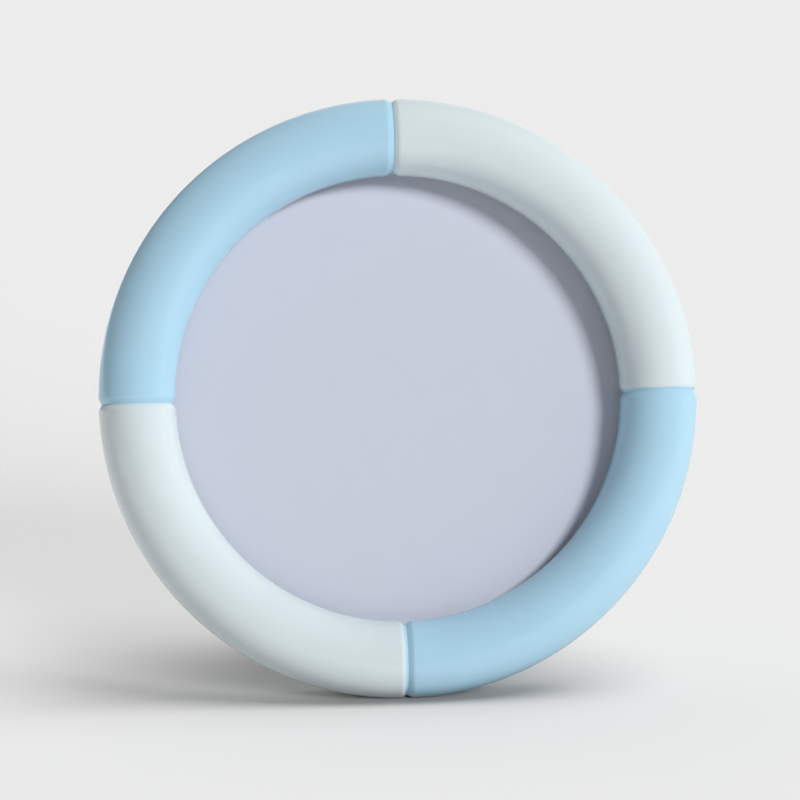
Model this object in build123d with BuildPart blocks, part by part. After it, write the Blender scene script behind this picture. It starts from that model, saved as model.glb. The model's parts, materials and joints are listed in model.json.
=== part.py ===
from build123d import *
from math import cos, radians, sin, tan
import os

# Round photo frame, standing on a table as it is used.
# +X is to the right of someone looking at the picture, +Y points away from them, and +Z is up.
# The origin is on the table, under the middle of the frame's outer box.

# The ring as a whole
sight_diameter = 96.7
bar_width = 16.65
lean_angle = 14.0

# Section of the ring: half round in front, drawn in behind, cut flat at the back
lip_thickness = 1.2
lip_overlap = 2.1
rear_draw_in = 5.7
rear_edge_radius = 2.2
stand_flat_depth = 0.3

# Groove where two quarters of the ring meet, as it is on each of them
groove_depth = 0.65
groove_reach = 1.2
shoulder_radius = 1.6

# Dowels that line the quarters up
dowel_radius = 1.5
dowel_length = 12.0
dowel_edge_chamfer = 0.3
dowel_clearance = 0.05
dowel_end_clearance = 0.3

# What the rebate holds, from the front to the back
glass_thickness = 2.0
glass_edge_chamfer = 0.3
insert_thickness = 0.4
filler_thickness = 1.5
board_thickness = 3.0
cover_thickness = 0.5
edge_clearance = 0.45

# Turn buttons
button_thickness = 0.8
button_pivot_radius = 3.6
button_tip_radius = 2.3
button_reach = 7.6
button_edge_radius = 0.2
button_clearance = 0.1

# Screws that the turn buttons pivot on
screw_radius = 1.2
screw_length = 7.0
screw_point = 1.5
screw_clearance = 0.06
thread_clearance = 0.02
screw_head_radius = 2.5
screw_head_height = 1.4
screw_head_edge_radius = 0.9
screw_recess_length = 2.8
screw_recess_width = 0.6
screw_recess_depth = 0.6

# Hinge of the easel leg
hinge_height = 28.0
hinge_width = 21.0
leaf_thickness = 0.6
leaf_length = 15.0
leaf_corner_radius = 2.0
knuckle_radius = 1.5
knuckle_gap = 0.15
pin_clearance = 0.05
pin_head_radius = 1.3
pin_head_thickness = 0.6
pin_head_edge_radius = 0.35

# Rivets that hold the two leaves
rivet_drop = 9.5
rivet_spacing = 12.0
rivet_radius = 1.0
rivet_clearance = 0.02
rivet_head_radius = 1.9
rivet_head_height = 0.6
rivet_sink_clearance = 0.1

# Easel leg
leg_angle = 30.0
leg_thickness = 3.0
leg_top_width = 25.0
leg_foot_width = 37.0
leg_heel = 7.5
leg_corner_radius = 3.0
stop_gap = 0.1
leg_cover_lift = 0.6

# How far a cut or a piece that is cut to length runs past the face that ends it
overrun = 2.0

os.makedirs("parts", exist_ok=True)

# Radii that follow from the sizes above
sight_radius = sight_diameter / 2
outer_radius = sight_radius + bar_width
section_radius = bar_width / 2
centreline_radius = sight_radius + section_radius
rebate_radius = sight_radius + lip_overlap
filling_radius = rebate_radius - edge_clearance
dowel_track_radius = (rebate_radius + outer_radius) / 2
button_track_radius = (rebate_radius + outer_radius - rear_draw_in) / 2
pin_radius = knuckle_radius - leaf_thickness - pin_clearance

# Depths behind the middle of the section, where the ring is widest
glass_back = lip_thickness + glass_thickness
insert_back = glass_back + insert_thickness
filler_back = insert_back + filler_thickness
board_back = filler_back + board_thickness
cover_back = board_back + cover_thickness
ring_back = cover_back + button_clearance
pin_back = cover_back + knuckle_radius

# Distances from the hinge pin towards the board or the leg that each leaf is riveted to
leaf_near = knuckle_radius - leaf_thickness
board_rivet_end = knuckle_radius + cover_thickness + board_thickness - rivet_head_height - rivet_sink_clearance
leg_back = knuckle_radius + leg_thickness
leg_rivet_end = leg_back + cover_thickness

# The ring's four quarters, and the three knuckles of the hinge
quarter_names = ["upper_right", "upper_left", "lower_left", "lower_right"]
quarter_angle = 360 / len(quarter_names)
start_angles = [number * quarter_angle for number in range(len(quarter_names))]
button_angles = [angle + quarter_angle / 2 for angle in start_angles]
knuckle_length = (hinge_width - 2 * knuckle_gap) / 3
outer_knuckles = [-hinge_width / 2, hinge_width / 2 - knuckle_length]
middle_knuckle = [-knuckle_length / 2]

# The ring leans back by one angle, and the leg behind it slopes the other way by the rest
lean = radians(lean_angle)
leg_slope = radians(leg_angle - lean_angle)
centre_height = centreline_radius * cos(lean) + section_radius - stand_flat_depth
pin_height = centre_height + hinge_height * cos(lean) - pin_back * sin(lean)
pin_setback = hinge_height * sin(lean) + pin_back * cos(lean)
leg_length = pin_height / cos(leg_slope) + leg_back * tan(leg_slope)

# How far the frame reaches in front of the ring's centre and behind it, to centre it on the origin
front_reach = centreline_radius * sin(lean) + section_radius
foot_reach = pin_setback + pin_height * tan(leg_slope) + leg_back / cos(leg_slope)
cover_reach = foot_reach - leg_cover_lift * tan(leg_slope) + cover_thickness / cos(leg_slope)
centre_setback = (front_reach - max(foot_reach, cover_reach)) / 2

# The ring's plane faces the viewer, and its own Y runs up the frame
table = Plane.XY
middle = Plane.YZ
ring_plane = Plane(
    origin=(0, centre_setback, centre_height),
    x_dir=(1, 0, 0),
    z_dir=(0, -cos(lean), sin(lean)),
)
ring_axis = Axis(ring_plane.origin, ring_plane.z_dir)

# The hinge's planes meet at the middle of its pin. Each faces what its leaf is riveted to.
pin_centre = ring_plane.from_local_coords((0, hinge_height, -pin_back))
pin_plane = Plane(pin_centre, x_dir=ring_plane.y_dir, z_dir=ring_plane.x_dir)
board_side = Plane(pin_centre, x_dir=ring_plane.x_dir, z_dir=ring_plane.z_dir)
leg_side = Plane(pin_centre, x_dir=-ring_plane.x_dir, z_dir=-ring_plane.z_dir).rotated((leg_angle, 0, 0))
rivet_places = [(-rivet_spacing / 2, -rivet_drop), (rivet_spacing / 2, -rivet_drop)]


def depth_plane(depth):
    """A plane parallel to the ring's, this far behind the middle of its section."""
    return ring_plane.offset(-depth)


def section_plane(angle):
    """The plane of the ring's section at this angle: its X runs outwards and its Y forwards."""
    outwards = ring_plane.x_dir * cos(radians(angle)) + ring_plane.y_dir * sin(radians(angle))
    return Plane(ring_plane.origin, x_dir=outwards, z_dir=outwards.cross(ring_plane.z_dir))


def button_plane(angle):
    """Where a turn button lies on the ring's flat back: its X runs inwards and its Z backwards."""
    pivot = section_plane(angle).from_local_coords((button_track_radius, -ring_back))
    return Plane(pivot, x_dir=-section_plane(angle).x_dir, z_dir=-ring_plane.z_dir)


def distance_from(plane):
    """A key that sorts faces and edges by how far their middle lies from a plane."""
    return lambda shape: abs(plane.to_local_coords(shape.center()).Z)


# Four quarters of the ring, butted end to end


def make_quarter(start_angle):
    """One quarter of the ring, from one groove to the next, with its share of the rebate behind."""
    ends = [section_plane(start_angle), section_plane(start_angle + quarter_angle)]
    with BuildPart() as quarter:
        with BuildSketch(ends[0]) as section:
            with BuildLine():
                ThreePointArc((sight_radius, 0), (centreline_radius, section_radius), (outer_radius, 0))
                TangentArc((outer_radius, 0), (outer_radius - rear_draw_in, -ring_back), tangent=(0, -1))
                Polyline(
                    (outer_radius - rear_draw_in, -ring_back),
                    (rebate_radius, -ring_back),
                    (rebate_radius, -lip_thickness),
                    (sight_radius, -lip_thickness),
                    (sight_radius, 0),
                )
            make_face()
            rear_corner = section.vertices().group_by(Axis.Y)[0].sort_by(Axis.X)[-1]
            fillet(rear_corner, radius=rear_edge_radius)
        revolve(axis=ring_axis, revolution_arc=quarter_angle)

        # The groove starts as a slope that follows the section's outline from its round front
        for end in ends:
            end_face = quarter.faces().filter_by(GeomType.PLANE).sort_by(distance_from(end))[0]
            front_edge = end_face.edges().filter_by(GeomType.CIRCLE).sort_by(SortBy.LENGTH)[-1]
            chamfer(front_edge, length=groove_depth, length2=groove_reach, reference=end_face)

        # Its shoulder is then rolled over into the round of the bar
        for end in ends:
            slope = quarter.faces().filter_by(GeomType.PLANE, reverse=True).sort_by(distance_from(end))[0]
            shoulder = slope.edges().sort_by(distance_from(end))[-1]
            fillet(shoulder, radius=shoulder_radius)

        # Holes for the dowels in the ends, and for the turn button's screw in the flat back
        with BuildSketch(*ends):
            with Locations((dowel_track_radius, 0)):
                Circle(dowel_radius + dowel_clearance)
        extrude(amount=dowel_length / 2 + dowel_end_clearance, both=True, mode=Mode.SUBTRACT)
        with BuildSketch(button_plane(start_angle + quarter_angle / 2)):
            Circle(screw_radius + thread_clearance)
        extrude(amount=button_thickness - screw_length, mode=Mode.SUBTRACT)

        # The lower quarters are ground flat where the ring stands
        split(bisect_by=table, keep=Keep.TOP)
    return quarter


for start_angle, quarter_name in zip(start_angles, quarter_names):
    segment = make_quarter(start_angle)
    segment.part.label = "segment_" + quarter_name
    export_step(segment.part, "parts/segment_" + quarter_name + ".step")

with BuildPart() as joint_dowels:
    with BuildSketch(*[section_plane(angle) for angle in start_angles]):
        with Locations((dowel_track_radius, 0)):
            Circle(dowel_radius)
    extrude(amount=dowel_length / 2, both=True)
    chamfer(joint_dowels.edges().filter_by(GeomType.CIRCLE), length=dowel_edge_chamfer)
joint_dowels.part.label = "joint_dowels"
export_step(joint_dowels.part, "parts/joint_dowels.step")

# Glass, insert, filler, board and its covering, one behind the other in the rebate

with BuildPart() as glass_pane:
    with BuildSketch(depth_plane(glass_back)):
        Circle(filling_radius)
    extrude(amount=glass_thickness)
    chamfer(glass_pane.edges().filter_by(GeomType.CIRCLE), length=glass_edge_chamfer)
glass_pane.part.label = "glass_pane"
export_step(glass_pane.part, "parts/glass_pane.step")

with BuildPart() as photo_insert:
    with BuildSketch(depth_plane(insert_back)):
        Circle(filling_radius)
    extrude(amount=insert_thickness)
photo_insert.part.label = "photo_insert"
export_step(photo_insert.part, "parts/photo_insert.step")

with BuildPart() as filler_card:
    with BuildSketch(depth_plane(filler_back)):
        Circle(filling_radius)
    extrude(amount=filler_thickness)
filler_card.part.label = "filler_card"
export_step(filler_card.part, "parts/filler_card.step")

with BuildPart() as back_board:
    with BuildSketch(depth_plane(board_back)):
        Circle(filling_radius)
    extrude(amount=board_thickness)
    with BuildSketch(board_side):
        with Locations(*rivet_places):
            Circle(rivet_radius + rivet_clearance)
    extrude(amount=board_rivet_end, mode=Mode.SUBTRACT)
    with BuildSketch(board_side.offset(board_rivet_end)):
        with Locations(*rivet_places):
            Circle(rivet_head_radius + rivet_sink_clearance)
    extrude(amount=rivet_head_height + rivet_sink_clearance, mode=Mode.SUBTRACT)
back_board.part.label = "back_board"
export_step(back_board.part, "parts/back_board.step")

with BuildPart() as back_board_cover:
    with BuildSketch(depth_plane(cover_back)):
        Circle(filling_radius)
    extrude(amount=cover_thickness)
    with BuildSketch(board_side):
        with Locations(*rivet_places):
            Circle(rivet_radius + rivet_clearance)
    extrude(amount=board_rivet_end, mode=Mode.SUBTRACT)
back_board_cover.part.label = "back_board_cover"
export_step(back_board_cover.part, "parts/back_board_cover.step")

# Turn buttons on the ring's flat back, each pointing inwards over the board, and their screws


def make_turn_button(angle):
    """A stamped plate with a round pivot end, drawn in to a smaller round tip."""
    with BuildPart() as turn_button:
        with BuildSketch(button_plane(angle)):
            Circle(button_pivot_radius)
            with Locations((button_reach, 0)):
                Circle(button_tip_radius)
            make_hull()
            Circle(screw_radius + screw_clearance, mode=Mode.SUBTRACT)
        extrude(amount=button_thickness)
        back_face = turn_button.faces().filter_by(GeomType.PLANE).sort_by(distance_from(button_plane(angle)))[-1]
        fillet(back_face.outer_wire().edges(), radius=button_edge_radius)
    return turn_button


for button_angle, quarter_name in zip(button_angles, quarter_names):
    turn_button = make_turn_button(button_angle)
    turn_button.part.label = "turn_button_" + quarter_name
    export_step(turn_button.part, "parts/turn_button_" + quarter_name + ".step")

with BuildPart() as turn_button_screws:
    for button_angle in button_angles:
        pivot = button_plane(button_angle)
        with BuildSketch(Plane(pivot.origin, x_dir=pivot.x_dir, z_dir=pivot.y_dir)) as profile:
            with BuildLine():
                Polyline(
                    (0, screw_length - button_thickness),
                    (screw_radius, screw_length - button_thickness - screw_point),
                    (screw_radius, -button_thickness),
                    (screw_head_radius, -button_thickness),
                    (screw_head_radius, -button_thickness - screw_head_height),
                    (0, -button_thickness - screw_head_height),
                    close=True,
                )
            make_face()
            fillet(profile.vertices().group_by(Axis.Y)[0].sort_by(Axis.X)[-1], radius=screw_head_edge_radius)
        revolve(axis=Axis(pivot.origin, pivot.z_dir))
        with BuildSketch(pivot.offset(button_thickness + screw_head_height)):
            Rectangle(screw_recess_length, screw_recess_width)
            Rectangle(screw_recess_width, screw_recess_length)
        extrude(amount=-screw_recess_depth, mode=Mode.SUBTRACT)
turn_button_screws.part.label = "turn_button_screws"
export_step(turn_button_screws.part, "parts/turn_button_screws.step")

# The hinge: two leaves that lie face to face when the leg is folded, rolled round one pin


def make_leaf(side, own_knuckles, other_knuckles):
    """A leaf on the side of the pin that this plane faces, with room for the other leaf's knuckles."""
    with BuildPart() as leaf:
        with BuildSketch(side.offset(leaf_near)) as plate:
            with Locations((0, -leaf_length / 2)):
                Rectangle(hinge_width, leaf_length)
            fillet(plate.vertices().group_by(Axis.Y)[0], radius=leaf_corner_radius)
            with Locations(*rivet_places):
                Circle(rivet_radius + rivet_clearance, mode=Mode.SUBTRACT)
        extrude(amount=leaf_thickness)
        for start in other_knuckles:
            with BuildSketch(pin_plane.offset(start - knuckle_gap)):
                Circle(knuckle_radius + knuckle_gap)
            extrude(amount=knuckle_length + 2 * knuckle_gap, mode=Mode.SUBTRACT)
        for start in own_knuckles:
            with BuildSketch(pin_plane.offset(start)):
                Circle(knuckle_radius)
            extrude(amount=knuckle_length)
        with BuildSketch(pin_plane):
            Circle(pin_radius + pin_clearance)
        extrude(amount=hinge_width / 2 + overrun, both=True, mode=Mode.SUBTRACT)
    return leaf


hinge_board_leaf = make_leaf(board_side, outer_knuckles, middle_knuckle)
hinge_board_leaf.part.label = "hinge_board_leaf"
export_step(hinge_board_leaf.part, "parts/hinge_board_leaf.step")

hinge_leg_leaf = make_leaf(leg_side, middle_knuckle, outer_knuckles)
hinge_leg_leaf.part.label = "hinge_leg_leaf"
export_step(hinge_leg_leaf.part, "parts/hinge_leg_leaf.step")

with BuildPart() as hinge_pin:
    with BuildSketch(pin_plane):
        Circle(pin_radius)
    extrude(amount=hinge_width / 2 + knuckle_gap, both=True)
    with BuildSketch(pin_plane.offset(hinge_width / 2 + knuckle_gap)):
        Circle(pin_head_radius)
    extrude(amount=pin_head_thickness)
    fillet(hinge_pin.faces().sort_by(Axis.X)[-1].edges(), radius=pin_head_edge_radius)
    mirror(about=middle)
hinge_pin.part.label = "hinge_pin"
export_step(hinge_pin.part, "parts/hinge_pin.step")


def make_rivets(side, end):
    """The two rivets of a leaf, domed at both ends, from the leaf's near face to this distance."""
    centre = side.from_local_coords((rivet_spacing / 2, -rivet_drop))
    with BuildPart() as rivets:
        with BuildSketch(Plane(centre, x_dir=side.x_dir, z_dir=-side.y_dir)):
            with BuildLine():
                TangentArc((0, leaf_near - rivet_head_height), (rivet_head_radius, leaf_near), tangent=(1, 0))
                Polyline(
                    (rivet_head_radius, leaf_near),
                    (rivet_radius, leaf_near),
                    (rivet_radius, end),
                    (rivet_head_radius, end),
                )
                TangentArc((0, end + rivet_head_height), (rivet_head_radius, end), tangent=(1, 0))
                Line((0, end + rivet_head_height), (0, leaf_near - rivet_head_height))
            make_face()
        revolve(axis=Axis(centre, side.z_dir))
        mirror(about=middle)
    return rivets


board_rivets = make_rivets(board_side, board_rivet_end)
board_rivets.part.label = "board_rivets"
export_step(board_rivets.part, "parts/board_rivets.step")

leg_rivets = make_rivets(leg_side, leg_rivet_end)
leg_rivets.part.label = "leg_rivets"
export_step(leg_rivets.part, "parts/leg_rivets.step")

# The easel leg and its covering. Its heel runs on above the pin and stops against the board.


def make_leg_layer(near, thickness, foot_height):
    """One layer of the leg, this far behind the pin, cut off level at this height above the table."""
    with BuildPart() as layer:
        with BuildSketch(leg_side.offset(near)) as outline:
            with BuildLine():
                Polyline(
                    (-leg_foot_width / 2, -leg_length - overrun),
                    (leg_foot_width / 2, -leg_length - overrun),
                    (leg_top_width / 2, leg_heel),
                    (-leg_top_width / 2, leg_heel),
                    close=True,
                )
            make_face()
            fillet(outline.vertices().group_by(Axis.Y)[-1], radius=leg_corner_radius)
            with Locations(*rivet_places):
                Circle(rivet_radius + rivet_clearance, mode=Mode.SUBTRACT)
        extrude(amount=thickness)
        split(bisect_by=table.offset(foot_height), keep=Keep.TOP)
        split(bisect_by=depth_plane(cover_back + stop_gap), keep=Keep.BOTTOM)
    return layer


easel_leg = make_leg_layer(knuckle_radius, leg_thickness, 0)
easel_leg.part.label = "easel_leg"
export_step(easel_leg.part, "parts/easel_leg.step")

easel_leg_cover = make_leg_layer(leg_back, cover_thickness, leg_cover_lift)
easel_leg_cover.part.label = "easel_leg_cover"
export_step(easel_leg_cover.part, "parts/easel_leg_cover.step")
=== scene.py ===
import json
from math import acos, asin, cos, pi, radians, sin, sqrt

import bmesh
import bpy
from mathutils import Matrix, Vector


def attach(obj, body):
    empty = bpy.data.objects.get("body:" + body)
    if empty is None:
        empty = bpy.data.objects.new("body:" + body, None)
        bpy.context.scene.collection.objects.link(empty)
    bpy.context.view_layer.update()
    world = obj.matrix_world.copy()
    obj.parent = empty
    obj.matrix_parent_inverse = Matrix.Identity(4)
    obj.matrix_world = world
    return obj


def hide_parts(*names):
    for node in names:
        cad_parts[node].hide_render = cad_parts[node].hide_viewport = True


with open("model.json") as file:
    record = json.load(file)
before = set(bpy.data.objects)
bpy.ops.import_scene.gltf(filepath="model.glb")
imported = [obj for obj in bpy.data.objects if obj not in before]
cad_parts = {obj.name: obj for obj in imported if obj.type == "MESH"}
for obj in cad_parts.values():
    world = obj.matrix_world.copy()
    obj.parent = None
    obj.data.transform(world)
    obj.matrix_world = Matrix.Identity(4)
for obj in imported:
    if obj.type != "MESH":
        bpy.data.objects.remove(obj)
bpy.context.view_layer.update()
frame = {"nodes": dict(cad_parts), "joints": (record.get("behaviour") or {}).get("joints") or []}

bl_info = {
    "name": "Round Photo Frame",
    "version": (1, 0, 0),
    "blender": (4, 5, 0),
    "location": "View3D > Sidebar > Photo Frame",
    "description": "Gives a packed round photo frame its smooth quarters, fittings and finishes",
    "category": "Object",
}

mm = 0.001
weld_distance = 0.001 * mm
sharp_bend = radians(35)


# Where things are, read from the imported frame

joints = {joint["name"]: joint for joint in frame["joints"]}
quarter_names = ("upper_right", "upper_left", "lower_left", "lower_right")
button_joints = {name: joints["turn_button_" + name] for name in quarter_names}
pin_centre = Vector(joints["leg_hinge"]["pos_m"])
leg_opening = -radians(joints["leg_hinge"]["range_deg"][0])

# The ring's own directions: across to the right, up the leaning frame, and out towards the viewer
across = Vector((1, 0, 0))
towards_viewer = -Vector(button_joints["upper_right"]["axis"])
up_the_frame = towards_viewer.cross(across)
button_pivots = [Vector(joint["pos_m"]) for joint in button_joints.values()]
back_centre = sum(button_pivots, Vector()) / len(button_pivots)
behind_leg = Matrix.Rotation(leg_opening, 3, across) @ -towards_viewer


# Colours and small helpers


def linear(hex_colour):
    """Turn an sRGB hex colour into linear red, green, blue and alpha."""
    channels = [int(hex_colour[start : start + 2], 16) / 255 for start in (0, 2, 4)]
    bent = [c / 12.92 if c <= 0.04045 else ((c + 0.055) / 1.055) ** 2.4 for c in channels]
    return (*bent, 1.0)


def length(label, about, millimetres):
    """A length that the user can set, given here in millimetres."""
    return bpy.props.FloatProperty(
        name=label, description=about, default=millimetres * mm, min=0.0, unit="LENGTH", precision=5
    )


def colour(label, about, hex_colour):
    """A colour that the user can set, given here in sRGB hex."""
    return bpy.props.FloatVectorProperty(
        name=label, description=about, default=linear(hex_colour), size=4, min=0.0, max=1.0, subtype="COLOR"
    )


def angle(label, about, degrees):
    """An angle that the user can set, given here in degrees."""
    return bpy.props.FloatProperty(name=label, description=about, default=radians(degrees), subtype="ANGLE")


def number(label, about, value):
    """A plain number that the user can set."""
    return bpy.props.FloatProperty(name=label, description=about, default=value, min=0.0)


def add_node(tree, kind, inputs=None, **settings):
    """Add a node, give it its settings, and set or link its inputs. A node links its first output."""
    node = tree.nodes.new(kind)
    for name, value in settings.items():
        setattr(node, name, value)
    for key, value in (inputs or {}).items():
        if isinstance(value, bpy.types.Node):
            value = value.outputs[0]
        if isinstance(value, bpy.types.NodeSocket):
            tree.links.new(value, node.inputs[key])
        else:
            node.inputs[key].default_value = value
    return node


def placed(origin, x_direction, z_direction):
    """The matrix that takes a shape from its own X, Y and Z to this place."""
    y_direction = z_direction.cross(x_direction)
    return Matrix.Translation(origin) @ Matrix((x_direction, y_direction, z_direction)).transposed().to_4x4()


def new_piece(name, mesh):
    """An object of this mesh, in the scene, at the origin."""
    piece = bpy.data.objects.new(name, mesh)
    bpy.context.scene.collection.objects.link(piece)
    return piece


def settle(piece):
    """Keep what the modifiers make of a piece as its plain mesh, and take them off."""
    depsgraph = bpy.context.evaluated_depsgraph_get()
    mesh = bpy.data.meshes.new_from_object(
        piece.evaluated_get(depsgraph), preserve_all_data_layers=True, depsgraph=depsgraph
    )
    piece.modifiers.clear()
    piece.data = mesh


def coat(mesh, material):
    """Give every face of a mesh this one material."""
    mesh.materials.clear()
    mesh.materials.append(material)
    mesh.polygons.foreach_set("material_index", [0] * len(mesh.polygons))


def dress(node, material):
    """Give a CAD node that keeps its shape its material."""
    mesh = frame["nodes"][node].data
    mesh.materials.clear()
    mesh.materials.append(material)


def seat(piece, body, slot, *nodes):
    """Let a finished piece ride on its body and stand for CAD nodes, which are hidden. The slot is not used.
    """
    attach(piece, body)
    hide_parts(*nodes)


def round_edges(piece, width, material):
    """Break a piece's sharp edges by this width, shade its flat faces flat and give it its material."""
    piece.data.shade_smooth()
    bevel = piece.modifiers.new("broken_edges", "BEVEL")
    bevel.width = width
    bevel.segments = 3
    bevel.limit_method = "ANGLE"
    bevel.angle_limit = sharp_bend
    flat_faces = piece.modifiers.new("flat_faces", "WEIGHTED_NORMAL")
    flat_faces.weight = 100
    settle(piece)
    coat(piece.data, material)


def shape_mesh(name, shape, place):
    """The mesh of a bmesh shape, in its place and with its faces outwards."""
    bmesh.ops.transform(shape, matrix=place, verts=shape.verts)
    bmesh.ops.recalc_face_normals(shape, faces=shape.faces)
    mesh = bpy.data.meshes.new(name)
    shape.to_mesh(mesh)
    shape.free()
    return mesh


def bridge(shape, loop, following):
    """Lay a band of faces between two loops of as many corners."""
    for step, corner in enumerate(loop):
        after = (step + 1) % len(loop)
        shape.faces.new((corner, loop[after], following[after], following[step]))


# Settings that a user would change


class RingSettings(bpy.types.PropertyGroup):
    """Sizes and paints of the ring."""

    sight_diameter: length("Sight Diameter", "Clear opening of the ring", 96.7)
    bar_width: length("Bar Width", "Width of the ring's bar, seen from the front", 16.65)
    ring_back: length("Back Depth", "From the widest part of the bar to its flat back", 8.7)
    rear_draw_in: length("Rear Draw-in", "How far the outside is drawn in at the flat back", 5.7)
    rear_edge_radius: length("Rear Edge Radius", "Round between the outside and the flat back", 2.2)
    lip_thickness: length("Lip Thickness", "Lip that the glass rests against", 1.2)
    lip_overlap: length("Lip Overlap", "How far the lip covers the glass", 2.1)
    groove_depth: length("Groove Depth", "Depth of the groove at each joint", 0.65)
    groove_reach: length("Groove Reach", "Half the groove's width, before its shoulder is rolled", 1.2)
    shoulder_radius: length("Shoulder Radius", "Round between the groove's slope and the bar", 1.6)
    low_overrun: length("Low Overrun", "How far the blue runs past the right and bottom joints", 0.65)
    high_overrun: length("High Overrun", "How far the blue runs past the top and left joints", 0.3)
    blue: colour("Blue Lacquer", "Paint of the upper left and lower right quarters", "A9CFE3")
    mint: colour("Mint Lacquer", "Paint of the upper right and lower left quarters", "D1DCDF")


class PictureSettings(bpy.types.PropertyGroup):
    """The glass and what lies behind it."""

    glass_thickness: length("Glass Thickness", "Thickness of the pane", 2.0)
    glass_edge: length("Glass Edge", "Ground chamfer round the pane", 0.3)
    glass_clearance: length("Glass Clearance", "Hair's breadth between the glass and what it touches", 0.03)
    edge_clearance: length("Edge Clearance", "Room between the glass and the rebate", 0.45)
    glass: colour("Glass", "Body colour of the glass", "FCFEFD")
    paper: colour("Insert Paper", "Colour of the bare insert", "D0D0E1")
    card: colour("Filler Card", "Colour of the card behind the insert", "8F8B84")


class BackSettings(bpy.types.PropertyGroup):
    """The backing board, its covering, the leg and the dowels."""

    sawn_edge: length("Sawn Edge", "How far the leg's sawn edges are broken", 0.2)
    flock_edge: length("Flock Edge", "How far the pile rounds over at its edges", 0.2)
    board: colour("Fibreboard", "Cut faces of the board and the leg", "A5845F")
    flock: colour("Flock", "Covering of the board and the leg", "3A3A3E")
    dowel: colour("Beech", "Dowels in the ring's joints", "CDAA80")


class FittingSettings(bpy.types.PropertyGroup):
    """Turn buttons and screws."""

    button_thickness: length("Button Thickness", "Plate that the turn buttons are stamped from", 0.8)
    button_pivot_radius: length("Button Pivot Radius", "Round end at the screw", 3.6)
    button_tip_radius: length("Button Tip Radius", "Round end over the board", 2.3)
    button_reach: length("Button Reach", "From the screw to the middle of the tip", 7.6)
    button_edge_radius: length("Button Edge Radius", "Rounding that the punch leaves on top", 0.2)
    button_burr: length("Button Burr", "Chamfer where the burr was taken off underneath", 0.06)
    screw_radius: length("Screw Radius", "Radius of the shank", 1.2)
    screw_clearance: length("Screw Clearance", "Room for the shank in the button", 0.06)
    screw_length: length("Screw Length", "From under the head to the point", 7.0)
    screw_point: length("Screw Point", "Length of the point", 1.5)
    screw_head_radius: length("Screw Head Radius", "Radius of the pan head", 2.5)
    screw_head_height: length("Screw Head Height", "Height of the pan head", 1.4)
    screw_head_edge_radius: length("Screw Head Edge Radius", "Rounding of the pan head", 0.9)
    recess_length: length("Recess Length", "From end to end of the cross", 2.8)
    recess_width: length("Recess Width", "Width of the cross's arms", 0.6)
    recess_depth: length("Recess Depth", "How deep the cross is sunk", 0.6)
    steel: colour("Plated Steel", "Nickel plate on every fitting", "C2C0BA")


class HingeSettings(bpy.types.PropertyGroup):
    """The hinge of the leg, with its pin and rivets."""

    hinge_width: length("Hinge Width", "Length of the pin between its heads, less the gaps", 21.0)
    leaf_thickness: length("Leaf Thickness", "Sheet that the leaves are rolled from", 0.6)
    leaf_length: length("Leaf Length", "From the pin to the end of a leaf", 15.0)
    leaf_corner_radius: length("Leaf Corner Radius", "Round corners of a leaf", 2.0)
    leaf_burr: length("Leaf Burr", "How far the sheet's edges are broken", 0.07)
    knuckle_radius: length("Knuckle Radius", "Outside of a rolled knuckle", 1.5)
    knuckle_gap: length("Knuckle Gap", "Gap between two knuckles", 0.15)
    roll_angle: angle("Roll Angle", "How far a knuckle is rolled round", 300)
    pin_clearance: length("Pin Clearance", "Room for the pin in a knuckle", 0.05)
    pin_head_radius: length("Pin Head Radius", "Radius of the pin's two heads", 1.3)
    pin_head_thickness: length("Pin Head Thickness", "Thickness of the pin's two heads", 0.6)
    pin_head_edge_radius: length("Pin Head Edge Radius", "Rounding of the pin's two heads", 0.35)
    rivet_drop: length("Rivet Drop", "From the pin to the rivets", 9.5)
    rivet_spacing: length("Rivet Spacing", "Between a leaf's two rivets", 12.0)
    rivet_radius: length("Rivet Radius", "Radius of a rivet's shank", 1.0)
    rivet_head_radius: length("Rivet Head Radius", "Radius of a rivet's domed head", 1.9)
    rivet_head_height: length("Rivet Head Height", "Height of a rivet's domed head", 0.6)
    board_rivet_reach: length("Board Rivet Reach", "From the pin's middle to the heads inside the board", 4.3)
    leg_rivet_reach: length("Leg Rivet Reach", "From the pin's middle to the heads behind the leg", 5.0)


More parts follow.
